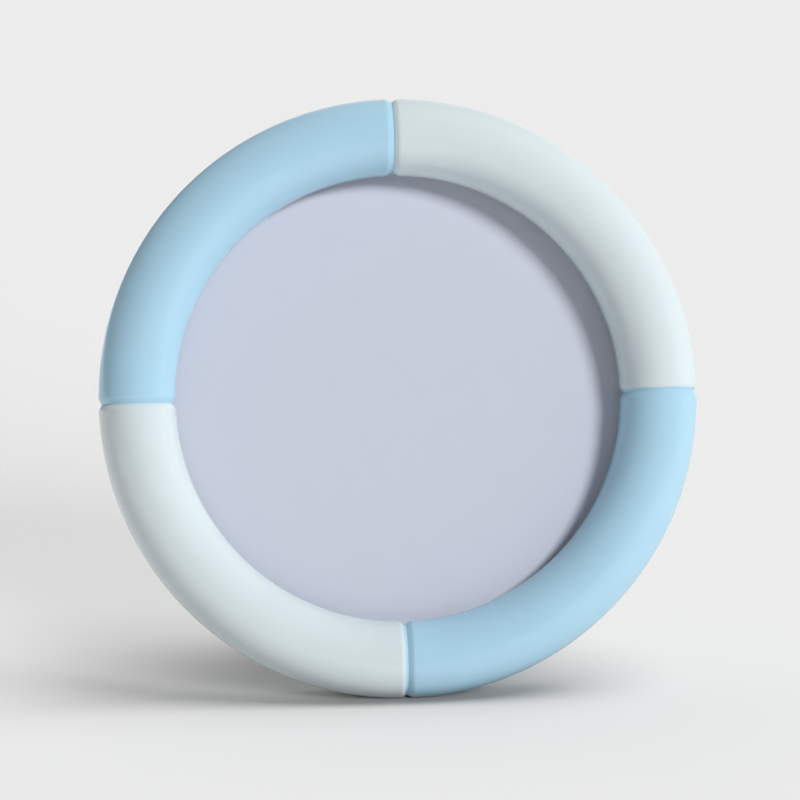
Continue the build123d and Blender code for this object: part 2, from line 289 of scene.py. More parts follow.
class StageSettings(bpy.types.PropertyGroup):
    """Floor, lights and camera. Azimuths run from the front, elevations up from level."""

    backdrop: colour("Backdrop", "Background as the camera sees it", "ECECEC")
    floor_paper: colour("Floor Paper", "Seamless paper, grey enough to hold a shadow", "B3B3B3")
    floor_radius: length("Floor Radius", "Radius of the round floor", 6000)
    key_strength: number("Key Strength", "Strength of the frame's key lamp", 2.9)
    key_softness: angle("Key Softness", "Apparent width of the key lamp", 14)
    key_azimuth: angle("Key Azimuth", "How far right the key lamp stands", 43)
    key_elevation: angle("Key Elevation", "How high the key lamp stands", 31)
    low_strength: number("Low Strength", "Strength of the floor's low lamp", 2.9)
    low_softness: angle("Low Softness", "Apparent width of the floor's low lamp", 30)
    low_azimuth: angle("Low Azimuth", "How far right the floor's low lamp stands", 25)
    low_elevation: angle("Low Elevation", "How high the floor's low lamp stands", 20)
    high_strength: number("High Strength", "Strength of the floor's high lamp", 3.5)
    high_softness: angle("High Softness", "Apparent width of the floor's high lamp", 45)
    high_azimuth: angle("High Azimuth", "How far right the floor's high lamp stands", 88)
    high_elevation: angle("High Elevation", "How high the floor's high lamp stands", 66)
    fill_front: number("Front Fill", "Light from the dark studio on the camera's side", 0.04)
    fill_behind: number("Rear Fill", "Light from the backdrop behind the frame", 1.1)
    fill_left: number("Left Fill", "Light that a pale wall on the left adds", 0.3)
    fill_above: number("Top Fill", "Light that the ceiling adds", 0.1)
    gloss_front_share: number("Front Gloss", "Share of the backdrop that gloss shows in front", 0.12)
    gloss_above_share: number("Top Gloss", "Share of the backdrop that gloss shows above", 0.45)
    gloss_flag_share: number("Flag Gloss", "Share of the backdrop that gloss shows in the black flag", 0.08)
    camera_lens: length("Camera Lens", "Focal length on a 36 mm sensor", 230)
    camera_distance: length("Camera Distance", "From the ring to the camera", 1100)
    camera_azimuth: angle("Camera Azimuth", "How far left the camera stands", 4.25)
    camera_elevation: angle("Camera Elevation", "How high the camera stands", 11.33)
    camera_roll: angle("Camera Roll", "How far the camera leans to the right", 0.55)
    aim_left: length("Aim Left", "How far left of the ring's middle the camera looks", 0.31)
    aim_low: length("Aim Low", "How far below the ring's middle the camera looks", 0.87)


# Materials


def new_material(name):
    """An empty node material, its tree, and the place of each point on the object."""
    material = bpy.data.materials.new(name)
    material.use_nodes = True
    tree = material.node_tree
    tree.nodes.clear()
    return material, tree, add_node(tree, "ShaderNodeTexCoord").outputs["Object"]


def surfaced(material, values):
    """The material, with a surface of these values."""
    shader = add_node(material.node_tree, "ShaderNodeBsdfPrincipled", values)
    add_node(material.node_tree, "ShaderNodeOutputMaterial", {"Surface": shader})
    return material


def mottled(tree, shade, pattern, darkest_share, lightest_share, low=0.0, high=1.0):
    """A colour that is darkest where the pattern is low, and lightest where it is high."""
    reach = {"From Min": low, "From Max": high, "To Min": darkest_share, "To Max": lightest_share}
    tone = add_node(tree, "ShaderNodeMapRange", {"Value": pattern, **reach})
    shares = {0: 1.0, 6: shade, 7: tone}
    return add_node(tree, "ShaderNodeMix", shares, data_type="RGBA", blend_type="MULTIPLY").outputs[2]


def satin_lacquer(name, own_colour, neighbour_colour):
    """Sprayed satin polyurethane lacquer over cast resin: soft gloss, faint clouds, a hand-masked edge."""
    material, tree, place = new_material(name)

    # The paint changes at the masking line, which wanders by about a tenth of a millimetre
    wander = add_node(tree, "ShaderNodeTexNoise", {"Vector": place, "Scale": 1 / (2.5 * mm), "Detail": 2.0})
    masking_line = add_node(tree, "ShaderNodeAttribute", attribute_name="masking_line").outputs["Fac"]
    shifted = {0: wander, 1: 0.25 * mm, 2: masking_line}
    wandered = add_node(tree, "ShaderNodeMath", shifted, operation="MULTIPLY_ADD")
    paint_edge = {"Value": wandered, "From Min": 0.08 * mm, "From Max": 0.16 * mm}
    is_own = add_node(tree, "ShaderNodeMapRange", paint_edge)
    paints = {0: is_own, 6: neighbour_colour, 7: own_colour}
    paint = add_node(tree, "ShaderNodeMix", paints, data_type="RGBA").outputs[2]

    # Pigment that settles unevenly, in clouds of about 9 mm
    clouds = add_node(tree, "ShaderNodeTexNoise", {"Vector": place, "Scale": 1 / (9 * mm), "Detail": 3.0})
    clouded = mottled(tree, paint, clouds, 0.965, 1.02)

    # Rubbing streaks run along the bar, 25 mm long and 1 mm apart, over orange peel of about 1 mm
    bar_place = add_node(tree, "ShaderNodeAttribute", attribute_name="bar_place").outputs["Vector"]
    streak_size = {"Vector": bar_place, "Scale": (1 / (25 * mm), 1 / (1.0 * mm), 1.0)}
    streak_place = add_node(tree, "ShaderNodeMapping", streak_size)
    streaks = add_node(tree, "ShaderNodeTexNoise", {"Vector": streak_place, "Scale": 1.0, "Detail": 2.0})
    peel = add_node(tree, "ShaderNodeTexNoise", {"Vector": place, "Scale": 1 / (1.1 * mm), "Detail": 1.0})
    gloss = add_node(tree, "ShaderNodeMapRange", {"Value": streaks, "To Min": 0.07, "To Max": 0.17})
    relief = add_node(tree, "ShaderNodeMix", {0: 0.35, 2: peel, 3: streaks})
    bump = add_node(tree, "ShaderNodeBump", {"Height": relief, "Strength": 0.25, "Distance": 0.03 * mm})
    return surfaced(material, {"Base Color": clouded, "Roughness": gloss, "IOR": 1.5, "Normal": bump})


def float_glass(tint):
    """Clear float glass with ground edges. Rays that carry light to what is behind it go straight through."""
    material, tree, place = new_material("clear_float_glass")
    ripple = add_node(tree, "ShaderNodeTexNoise", {"Vector": place, "Scale": 1 / (40 * mm), "Detail": 1.0})
    bump = add_node(tree, "ShaderNodeBump", {"Height": ripple, "Strength": 0.1, "Distance": 0.02 * mm})
    body = {"Base Color": tint, "Roughness": 0.0, "Transmission Weight": 1.0, "Normal": bump}
    glass = add_node(tree, "ShaderNodeBsdfPrincipled", {"IOR": 1.52, "Specular IOR Level": 0.2, **body})
    clear = add_node(tree, "ShaderNodeBsdfTransparent", {"Color": tint})
    path = add_node(tree, "ShaderNodeLightPath").outputs
    light_rays = {0: path["Is Shadow Ray"], 1: path["Is Diffuse Ray"]}
    carries_light = add_node(tree, "ShaderNodeMath", light_rays, operation="MAXIMUM")
    mixed = add_node(tree, "ShaderNodeMixShader", {0: carries_light, 1: glass, 2: clear})
    add_node(tree, "ShaderNodeOutputMaterial", {"Surface": mixed})
    return material


def uncoated_paper(shade):
    """Uncoated insert paper: matt, with fine fibres and a slight cloud from how the sheet was formed."""
    material, tree, place = new_material("uncoated_insert_paper")
    fibres = add_node(tree, "ShaderNodeTexNoise", {"Vector": place, "Scale": 1 / (0.35 * mm), "Detail": 3.0})
    formation = add_node(tree, "ShaderNodeTexNoise", {"Vector": place, "Scale": 1 / (6 * mm), "Detail": 2.0})
    mottle = add_node(tree, "ShaderNodeMix", {0: 0.5, 2: fibres, 3: formation})
    sheet = mottled(tree, shade, mottle, 0.965, 1.035)
    bump = add_node(tree, "ShaderNodeBump", {"Height": fibres, "Strength": 0.2, "Distance": 0.02 * mm})
    return surfaced(material, {"Base Color": sheet, "Roughness": 0.85, "Normal": bump})


def grey_board(shade):
    """Recycled grey board: coarse flecks of old print in a soft pressed sheet."""
    material, tree, place = new_material("recycled_grey_board")
    flecks = add_node(tree, "ShaderNodeTexVoronoi", {"Vector": place, "Scale": 1 / (0.8 * mm)})
    sheet = mottled(tree, shade, flecks, 0.75, 1.05, high=0.6)
    return surfaced(material, {"Base Color": sheet, "Roughness": 0.95})


def fibreboard(shade):
    """Sawn medium-density fibreboard: felted fibres, pale at the face and darker where the saw heated it."""
    material, tree, place = new_material("sawn_fibreboard")
    fibre_size = {"Vector": place, "Scale": (1 / (0.5 * mm), 1 / (0.25 * mm), 1 / (0.7 * mm))}
    lie = add_node(tree, "ShaderNodeMapping", fibre_size)
    felt = {"Vector": lie, "Scale": 1.0, "Detail": 5.0, "Roughness": 0.7}
    fibres = add_node(tree, "ShaderNodeTexNoise", felt)
    scorch = add_node(tree, "ShaderNodeTexNoise", {"Vector": place, "Scale": 1 / (7 * mm), "Detail": 2.0})
    mottle = add_node(tree, "ShaderNodeMix", {0: 0.35, 2: fibres, 3: scorch})
    cut = mottled(tree, shade, mottle, 0.72, 1.12, low=0.3, high=0.7)
    bump = add_node(tree, "ShaderNodeBump", {"Height": fibres, "Strength": 0.6, "Distance": 0.06 * mm})
    return surfaced(material, {"Base Color": cut, "Roughness": 0.9, "Normal": bump})


def flocked_paper(shade):
    """Charcoal flock on paper: a short upright pile, brushed lighter in places, that shines at its edges."""
    material, tree, place = new_material("charcoal_flocked_paper")
    # Single fibres are too fine to show, so the tufts are drawn 0.5 mm apart
    tuft_size = {"Vector": place, "Scale": 1 / (0.5 * mm), "Detail": 4.0, "Roughness": 0.75}
    tufts = add_node(tree, "ShaderNodeTexNoise", tuft_size)
    brush_size = {"Vector": place, "Scale": 1 / (14 * mm), "Detail": 3.0, "Distortion": 0.6}
    brushed = add_node(tree, "ShaderNodeTexNoise", brush_size)
    mottle = add_node(tree, "ShaderNodeMix", {0: 0.5, 2: tufts, 3: brushed})
    pile = mottled(tree, shade, mottle, 0.45, 1.6, low=0.3, high=0.7)
    bump = add_node(tree, "ShaderNodeBump", {"Height": tufts, "Strength": 0.8, "Distance": 0.15 * mm})
    sheen = {"Specular IOR Level": 0.2, "Sheen Weight": 0.35, "Sheen Roughness": 0.4}
    return surfaced(material, {"Base Color": pile, "Roughness": 0.95, "Normal": bump, **sheen})


def nickel_plate(name, shade):
    """Nickel plate on stamped steel: warm grey, tumbled smooth, with fine rolling lines and dull spots."""
    material, tree, place = new_material(name)
    line_size = {"Vector": place, "Scale": (1 / (6 * mm), 1 / (0.15 * mm), 1 / (0.15 * mm))}
    lines = add_node(tree, "ShaderNodeMapping", line_size)
    rolled = add_node(tree, "ShaderNodeTexNoise", {"Vector": lines, "Scale": 1.0, "Detail": 2.0})
    handled = add_node(tree, "ShaderNodeTexNoise", {"Vector": place, "Scale": 1 / (3 * mm), "Detail": 3.0})
    wear = add_node(tree, "ShaderNodeMix", {0: 0.6, 2: rolled, 3: handled})
    dulling = {"Value": wear, "From Min": 0.3, "From Max": 0.7, "To Min": 0.12, "To Max": 0.3}
    roughness = add_node(tree, "ShaderNodeMapRange", dulling)
    plate = mottled(tree, shade, handled, 0.88, 1.04)
    bump = add_node(tree, "ShaderNodeBump", {"Height": rolled, "Strength": 0.15, "Distance": 0.01 * mm})
    return surfaced(material, {"Base Color": plate, "Metallic": 1.0, "Roughness": roughness, "Normal": bump})


def turned_beech(shade):
    """Turned beech dowel: straight pale grain with short darker rays."""
    material, tree, place = new_material("turned_beech")
    grain_size = {"Vector": place, "Scale": 1 / (0.6 * mm), "Detail": 3.0, "Distortion": 0.5}
    grain = add_node(tree, "ShaderNodeTexNoise", grain_size)
    return surfaced(material, {"Base Color": mottled(tree, shade, grain, 0.8, 1.1), "Roughness": 0.6})


# Geometry Nodes trees. Their sums are lists of steps: a result's name, its operation and its terms.


def new_tree(name, labels_by_kind):
    """A Geometry Nodes tree with these named inputs, the sockets that it is given and those of its result."""
    tree = bpy.data.node_groups.new(name, "GeometryNodeTree")
    tree.interface.new_socket("Geometry", in_out="INPUT", socket_type="NodeSocketGeometry")
    tree.interface.new_socket("Geometry", in_out="OUTPUT", socket_type="NodeSocketGeometry")
    for kind, labels in labels_by_kind.items():
        for label in labels:
            tree.interface.new_socket(label, in_out="INPUT", socket_type="NodeSocket" + kind)
    return tree, add_node(tree, "NodeGroupInput").outputs, add_node(tree, "NodeGroupOutput").inputs


def finish_tree(tree, shape, material, result):
    """Smooth all but the sharp edges, realize instances, and set the material."""
    bend = add_node(tree, "GeometryNodeInputMeshEdgeAngle").outputs["Unsigned Angle"]
    is_sharp = add_node(tree, "FunctionNodeCompare", {"A": bend, "B": sharp_bend}, operation="GREATER_THAN")
    real = add_node(tree, "GeometryNodeRealizeInstances", {"Geometry": shape})
    smooth = add_node(tree, "GeometryNodeSetShadeSmooth", {"Geometry": real, "Shade Smooth": True})
    crease = {"Geometry": smooth, "Selection": is_sharp, "Shade Smooth": False}
    creased = add_node(tree, "GeometryNodeSetShadeSmooth", crease, domain="EDGE")
    finished = add_node(tree, "GeometryNodeSetMaterial", {"Geometry": creased, "Material": material})
    tree.links.new(finished.outputs[0], result["Geometry"])


def grow(piece, tree, values):
    """Run a tree over a piece with these values, and keep what it makes as a plain mesh."""
    modifier = piece.modifiers.new(tree.name, "NODES")
    modifier.node_group = tree
    for item in tree.interface.items_tree:
        if item.in_out == "INPUT" and item.name in values:
            modifier[item.identifier] = values[item.name]
    settle(piece)


def outline_mesh(name, points, closed=True):
    """An outline to be swept. Each point is (out, rise), with its inset direction where it has one."""
    places = [Vector((point[0], 0.0, point[1])) for point in points]
    insets = [Vector((point[2], 0.0, point[3])) if len(point) > 2 else Vector() for point in points]
    travelled = [0.0]
    for before, here in zip(places, places[1:]):
        travelled.append(travelled[-1] + (here - before).length)
    count = len(points)
    edges = [(index, (index + 1) % count) for index in range(count if closed else count - 1)]
    mesh = bpy.data.meshes.new(name)
    mesh.from_pydata(places, edges, [])
    for label, vectors in (("section_place", places), ("inset", insets)):
        marks = mesh.attributes.new(label, "FLOAT_VECTOR", "POINT")
        marks.data.foreach_set("vector", [part for vector in vectors for part in vector])
    mesh.attributes.new("round_outline", "FLOAT", "POINT").data.foreach_set("value", travelled)
    return mesh


def round_sweep_tree():
    """Sweeps an outline round the Z axis. Where asked, its stations crowd together near the two ends."""
    tree, given, result = new_tree(
        "round_sweep",
        {"Int": ["Stations"], "Float": ["Start Angle", "Sweep Angle", "Crowding"], "Bool": ["Fill Ends"]},
    )
    line = add_node(tree, "GeometryNodeMeshLine", {"Count": given["Stations"], "Offset": (0.0, 0.0, mm)})
    rail = add_node(tree, "GeometryNodeMeshToCurve", {"Mesh": line})

    # The crowded share of the way is u - c sin(2 pi u) / (2 pi)
    values = dict(given.items())
    values["share"] = add_node(tree, "GeometryNodeSplineParameter").outputs["Factor"]
    for name, operation, *terms in (
        ("turn", "MULTIPLY", "share", 2 * pi),
        ("wave", "SINE", "turn"),
        ("depth", "DIVIDE", "Crowding", 2 * pi),
        ("shift", "MULTIPLY", "wave", "depth"),
        ("crowded", "SUBTRACT", "share", "shift"),
        ("angle", "MULTIPLY_ADD", "crowded", "Sweep Angle", "Start Angle"),
    ):
        inputs = {index: values.get(term, term) for index, term in enumerate(terms)}
        values[name] = add_node(tree, "ShaderNodeMath", inputs, operation=operation)

    mark = {"Geometry": rail, "Name": "sweep_angle", "Value": values["angle"]}
    marked = add_node(tree, "GeometryNodeStoreNamedAttribute", mark)
    outline = add_node(tree, "GeometryNodeMeshToCurve", {"Mesh": given["Geometry"]})
    rails = {"Curve": marked, "Profile Curve": outline, "Fill Caps": given["Fill Ends"]}
    swept = add_node(tree, "GeometryNodeCurveToMesh", rails)
    section = {"Name": "section_place"}
    place = add_node(tree, "GeometryNodeInputNamedAttribute", section, data_type="FLOAT_VECTOR")
    sweep_angle = add_node(tree, "GeometryNodeInputNamedAttribute", {"Name": "sweep_angle"})
    turn = {"Vector": place, "Angle": sweep_angle}
    turned_place = add_node(tree, "ShaderNodeVectorRotate", turn, rotation_type="Z_AXIS")
    moved = add_node(tree, "GeometryNodeSetPosition", {"Geometry": swept, "Position": turned_place})
    tree.links.new(moved.outputs[0], result["Geometry"])
    return tree


def ring_quarter_tree(sweep):
    """One quarter of the ring: its section swept round, with half a rolled groove at each end."""
    tree, given, result = new_tree(
        "ring_quarter",
        {
            "Int": ["Stations"],
            "Float": [
                "Start Angle",
                "Sweep Angle",
                "Crowding",
                "Bar Radius",
                "Groove Depth",
                "Groove Reach",
                "Shoulder Radius",
                "Start Overrun",
                "End Overrun",
            ],
            "Vector": ["Ring Centre", "Ring Turn"],
            "Material": ["Paint"],
        },
    )
    shared_labels = ("Geometry", "Stations", "Start Angle", "Sweep Angle", "Crowding")
    passed_on = {label: given[label] for label in shared_labels}
    bar = add_node(tree, "GeometryNodeGroup", {**passed_on, "Fill Ends": True}, node_tree=sweep)
    section = {"Name": "section_place"}
    place = add_node(tree, "GeometryNodeInputNamedAttribute", section, data_type="FLOAT_VECTOR")
    values = dict(given.items())
    values["out"] = add_node(tree, "ShaderNodeSeparateXYZ", {"Vector": place}).outputs["X"]
    values["turned"] = add_node(tree, "GeometryNodeInputNamedAttribute", {"Name": "sweep_angle"})
    for name, operation, *terms in (
        # How far each point lies from the two joints, along its own round
        ("past start", "SUBTRACT", "turned", "Start Angle"),
        ("before end", "SUBTRACT", "Sweep Angle", "past start"),
        ("from start", "MULTIPLY", "past start", "out"),
        ("from end", "MULTIPLY", "before end", "out"),
        ("from joint", "MINIMUM", "from start", "from end"),
        # The groove slopes straight down to the joint, and its shoulder is an arc that touches slope and bar
        ("gradient", "DIVIDE", "Groove Depth", "Groove Reach"),
        ("slope", "ARCTANGENT", "gradient"),
        ("half slope", "MULTIPLY", "slope", 0.5),
        ("half tangent", "TANGENT", "half slope"),
        ("shoulder end", "MULTIPLY_ADD", "Shoulder Radius", "half tangent", "Groove Reach"),
        ("slope sine", "SINE", "slope"),
        ("arc width", "MULTIPLY", "Shoulder Radius", "slope sine"),
        ("inwards", "SUBTRACT", "shoulder end", "from joint"),
        ("into groove", "MAXIMUM", "inwards", 0.0),
        ("on arc", "MINIMUM", "into groove", "arc width"),
        ("on slope", "SUBTRACT", "into groove", "on arc"),
        ("radius squared", "MULTIPLY", "Shoulder Radius", "Shoulder Radius"),
        ("arc squared", "MULTIPLY", "on arc", "on arc"),
        ("chord squared", "SUBTRACT", "radius squared", "arc squared"),
        ("chord", "SQRT", "chord squared"),
        ("arc drop", "SUBTRACT", "Shoulder Radius", "chord"),
        ("drop", "MULTIPLY_ADD", "on slope", "gradient", "arc drop"),
        # Two marks for the paint: the place along the bar, and the distance past the masking line
        ("along", "MULTIPLY", "turned", "Bar Radius"),
        ("past start mask", "SUBTRACT", "from start", "Start Overrun"),
        ("past end mask", "SUBTRACT", "from end", "End Overrun"),
        ("masking line", "MINIMUM", "past start mask", "past end mask"),
    ):
        inputs = {index: values.get(term, term) for index, term in enumerate(terms)}
        values[name] = add_node(tree, "ShaderNodeMath", inputs, operation=operation)

    round_outline = add_node(tree, "GeometryNodeInputNamedAttribute", {"Name": "round_outline"})
    bar_place = add_node(tree, "ShaderNodeCombineXYZ", {"X": values["along"], "Y": round_outline})
    mark = {"Geometry": bar, "Name": "bar_place", "Value": bar_place}
    marked = add_node(tree, "GeometryNodeStoreNamedAttribute", mark, data_type="FLOAT_VECTOR")
    mask = {"Geometry": marked, "Name": "masking_line", "Value": values["masking line"]}
    masked = add_node(tree, "GeometryNodeStoreNamedAttribute", mask)

    # The drop follows the outline's inset direction, turned with the section
    inset = add_node(tree, "GeometryNodeInputNamedAttribute", {"Name": "inset"}, data_type="FLOAT_VECTOR")
    sunk = add_node(tree, "ShaderNodeVectorMath", {0: inset, "Scale": values["drop"]}, operation="SCALE")
    turn = {"Vector": sunk, "Angle": values["turned"]}
    offset = add_node(tree, "ShaderNodeVectorRotate", turn, rotation_type="Z_AXIS")
    grooved = add_node(tree, "GeometryNodeSetPosition", {"Geometry": masked, "Offset": offset})

    # Into its place in the leaning ring
    ring_turn = add_node(tree, "FunctionNodeEulerToRotation", {"Euler": given["Ring Turn"]})
    lean = {"Geometry": grooved, "Translation": given["Ring Centre"], "Rotation": ring_turn}
    leaned = add_node(tree, "GeometryNodeTransform", lean)

    # What would reach below the table is ground flat. Sideways, no point comes near this limit of a metre.
    position = add_node(tree, "GeometryNodeInputPosition")
    limit = {0: position, 1: (-1.0, -1.0, 0.0)}
    above_table = add_node(tree, "ShaderNodeVectorMath", limit, operation="MAXIMUM")
    ground = add_node(tree, "GeometryNodeSetPosition", {"Geometry": leaned, "Position": above_table})
    finish_tree(tree, ground, given["Paint"], result)
    return tree


def turned_tree(name, sweep, has_recess):
    """Turns an outline into a solid, cuts its recess where it has one, and sets a copy at each point."""
    tree, given, result = new_tree(
        name,
        {
            "Object": ["Outline", "Recess"],
            "Int": ["Facets"],
            "Vector": ["Turn"],
            "Float": ["Twist"],
            "Material": ["Finish"],
        },
    )
    outline = add_node(tree, "GeometryNodeObjectInfo", {"Object": given["Outline"]}).outputs["Geometry"]
    stations = add_node(tree, "ShaderNodeMath", {0: given["Facets"], 1: 1.0}, operation="ADD")
    full_turn = {"Geometry": outline, "Stations": stations, "Start Angle": 0.0, "Sweep Angle": 2 * pi}
    shell = add_node(tree, "GeometryNodeGroup", full_turn, node_tree=sweep)
    merged = add_node(tree, "GeometryNodeMergeByDistance", {"Geometry": shell, "Distance": weld_distance})
    solid = add_node(tree, "GeometryNodeFlipFaces", {"Mesh": merged})
    if has_recess:
        cutter = add_node(tree, "GeometryNodeObjectInfo", {"Object": given["Recess"]}).outputs["Geometry"]
        solids = {"Mesh 1": solid, "Mesh 2": cutter}
        solid = add_node(tree, "GeometryNodeMeshBoolean", solids, operation="DIFFERENCE")

    # Nobody lines up the slots, so each copy is twisted about its own axis by chance
    twist = add_node(tree, "FunctionNodeRandomValue", {"Seed": 7, 3: given["Twist"]}, data_type="FLOAT")
    axis_twist = add_node(tree, "ShaderNodeCombineXYZ", {"Z": twist.outputs[1]})
    twisted = add_node(tree, "FunctionNodeEulerToRotation", {"Euler": axis_twist})
    faced = add_node(tree, "FunctionNodeEulerToRotation", {"Euler": given["Turn"]})
    turns = {"Rotation": faced, "Rotate By": twisted}
    turned = add_node(tree, "FunctionNodeRotateRotation", turns, rotation_space="LOCAL")
    copy = {"Points": given["Geometry"], "Instance": solid, "Rotation": turned}
    copies = add_node(tree, "GeometryNodeInstanceOnPoints", copy)
    finish_tree(tree, copies, given["Finish"], result)
    return tree


def turn_pieces(name, tree, outline, places, axis, material, facets=48, twist=0.0, recess=None):
    """A piece of like turned solids: one outline, turned about an axis of this direction, at each place."""
    seeds = bpy.data.meshes.new(name)
    seeds.from_pydata(places, [], [])
    piece = new_piece(name, seeds)
    pattern = new_piece(name + "_outline", outline_mesh(name + "_outline", outline, closed=False))
    side = across if abs(axis.dot(across)) < 0.5 else up_the_frame
    values = {
        "Outline": pattern,
        "Recess": recess,
        "Facets": facets,
        "Turn": placed(Vector(), side, axis).to_euler(),
        "Twist": twist,
        "Finish": material,
    }
    grow(piece, tree, values)
    bpy.data.objects.remove(pattern)
    # Realizing leaves an empty slot in front of the set material
    coat(piece.data, material)
    return piece


# The ring


def arc_points(centre_out, centre_rise, radius, start, end, steps):
    """Points on an arc of the section, from one angle to another, with the inset pointing at its middle."""
    for step in range(steps + 1):
        turn = start + (end - start) * step / steps
        yield centre_out + radius * cos(turn), centre_rise + radius * sin(turn), -cos(turn), -sin(turn)


def ring_section(ring, front_steps=72, rear_steps=24, edge_steps=12, flat_steps=5):
    """The section's outline, from the lip over the round front to the flat back and the rebate."""
    sight_radius = ring.sight_diameter / 2
    section_radius = ring.bar_width / 2
    outer_radius = sight_radius + ring.bar_width
    rebate_radius = sight_radius + ring.lip_overlap
    rear_radius = (ring.rear_draw_in**2 + ring.ring_back**2) / (2 * ring.rear_draw_in)
    edge_radius = ring.rear_edge_radius
    edge_turn = asin((ring.ring_back - edge_radius) / (rear_radius - edge_radius))
    edge_out = outer_radius - rear_radius + (rear_radius - edge_radius) * cos(edge_turn)
    front = arc_points(sight_radius + section_radius, 0.0, section_radius, pi, 0.0, front_steps)
    rear = arc_points(outer_radius - rear_radius, 0.0, rear_radius, 0.0, -edge_turn, rear_steps)
    edge = arc_points(edge_out, edge_radius - ring.ring_back, edge_radius, -edge_turn, -pi / 2, edge_steps)
    points = [(sight_radius, -ring.lip_thickness * share, 1.0, 0.0) for share in (1.0, 0.5)]
    # Each arc starts where the last one ended, so that point is left out
    points += [*front, *list(rear)[1:], *list(edge)[1:]]
    for step in range(1, flat_steps + 1):
        out = edge_out + (rebate_radius - edge_out) * step / flat_steps
        points.append((out, -ring.ring_back, 0.0, 1.0))
    # The groove doesn't reach into the rebate
    points.append((rebate_radius, -(ring.ring_back + ring.lip_thickness) / 2))
    points.append((rebate_radius, -ring.lip_thickness))
    return points


class PHOTOFRAME_OT_ring(bpy.types.Operator):
    """Sweep the four quarters of the ring and paint them in turn"""

    bl_idname = "photoframe.ring"
    bl_label = "Ring Quarters"

    def execute(self, context):
        ring = context.scene.ring_settings
        blue_paint = satin_lacquer("satin_lacquer_blue", ring.blue, ring.blue)
        mint_paint = satin_lacquer("satin_lacquer_mint", ring.mint, ring.blue)
        tree = ring_quarter_tree(round_sweep_tree())
        quarter_angle = 2 * pi / len(quarter_names)
        # The blue runs past the joints into the mint quarters only
        overruns = {"upper_right": (ring.low_overrun, ring.high_overrun)}
        overruns["lower_left"] = (ring.high_overrun, ring.low_overrun)
        for position, name in enumerate(quarter_names):
            is_mint = name in overruns
            start_overrun, end_overrun = overruns.get(name, (0.0, 0.0))
            section = outline_mesh("ring_section_" + name, ring_section(ring))
            quarter = new_piece("ring_quarter_" + name, section)
            values = {
                "Stations": 141,
                "Start Angle": position * quarter_angle,
                "Sweep Angle": quarter_angle,
                "Crowding": 0.85,
                "Bar Radius": (ring.sight_diameter + ring.bar_width) / 2,
                "Groove Depth": ring.groove_depth,
                "Groove Reach": ring.groove_reach,
                "Shoulder Radius": ring.shoulder_radius,
                "Start Overrun": start_overrun,
                "End Overrun": end_overrun,
                "Ring Centre": back_centre + towards_viewer * ring.ring_back,
                "Ring Turn": Matrix((across, up_the_frame, towards_viewer)).transposed().to_euler(),
                "Paint": mint_paint if is_mint else blue_paint,
            }
            grow(quarter, tree, values)
            seat(quarter, "frame", "mint_lacquer" if is_mint else "blue_lacquer", "segment_" + name)
        dress("joint_dowels", turned_beech(context.scene.back_settings.dowel))
        return {"FINISHED"}


# Glass, insert and filler


class PHOTOFRAME_OT_picture(bpy.types.Operator):
    """Set the glass, the bare insert and the filler card behind the ring's lip"""

    bl_idname = "photoframe.picture"
    bl_label = "Glass and Insert"

    def execute(self, context):
        picture = context.scene.picture_settings
        ring = context.scene.ring_settings
        radius = ring.sight_diameter / 2 + ring.lip_overlap - picture.edge_clearance
        # The pane keeps a hair clear of the lip and of the insert, so that no two faces share a place
        front = -ring.lip_thickness - picture.glass_clearance
        back = -ring.lip_thickness - picture.glass_thickness + picture.glass_clearance
        edge = picture.glass_edge
        lower = [(0.0, back), (radius - edge, back), (radius, back + edge)]
        upper = [(radius, front - edge), (radius - edge, front), (0.0, front)]
        ring_centre = back_centre + towards_viewer * ring.ring_back
        tree = turned_tree("turned_pane", round_sweep_tree(), has_recess=False)
        glass = float_glass(picture.glass)
        outline = lower + upper
        pane = turn_pieces("glass_disc", tree, outline, [ring_centre], towards_viewer, glass, facets=192)
        seat(pane, "frame", "glass", "glass_pane")
        dress("photo_insert", uncoated_paper(picture.paper))
        dress("filler_card", grey_board(picture.card))
        return {"FINISHED"}


# The back


def softened_copy(name, node, width, material):
    """A CAD node's shape with its cut edges broken, to stand for that node."""
    mesh = frame["nodes"][node].data.copy()
    shape = bmesh.new()
    shape.from_mesh(mesh)
    bmesh.ops.remove_doubles(shape, verts=shape.verts, dist=weld_distance)
    bmesh.ops.dissolve_limit(shape, angle_limit=radians(0.5), verts=shape.verts, edges=shape.edges)
    shape.to_mesh(mesh)
    shape.free()
    piece = new_piece(name, mesh)
    round_edges(piece, width, material)
    return piece


class PHOTOFRAME_OT_back(bpy.types.Operator):
    """Finish the backing board, the easel leg and their flocked coverings"""

    bl_idname = "photoframe.back"
    bl_label = "Board and Leg"

    def execute(self, context):
        back = context.scene.back_settings
        board = fibreboard(back.board)
        flock = flocked_paper(back.flock)
        dress("back_board", board)
        for name, node, body, slot, width, material in (
            ("sawn_easel_leg", "easel_leg", "leg", "mdf", back.sawn_edge, board),
            ("flocked_board_face", "back_board_cover", "frame", "flock", back.flock_edge, flock),
            ("flocked_leg_face", "easel_leg_cover", "leg", "flock", back.flock_edge, flock),
        ):
            seat(softened_copy(name, node, width, material), body, slot, node)
        return {"FINISHED"}


# Turn buttons and their screws


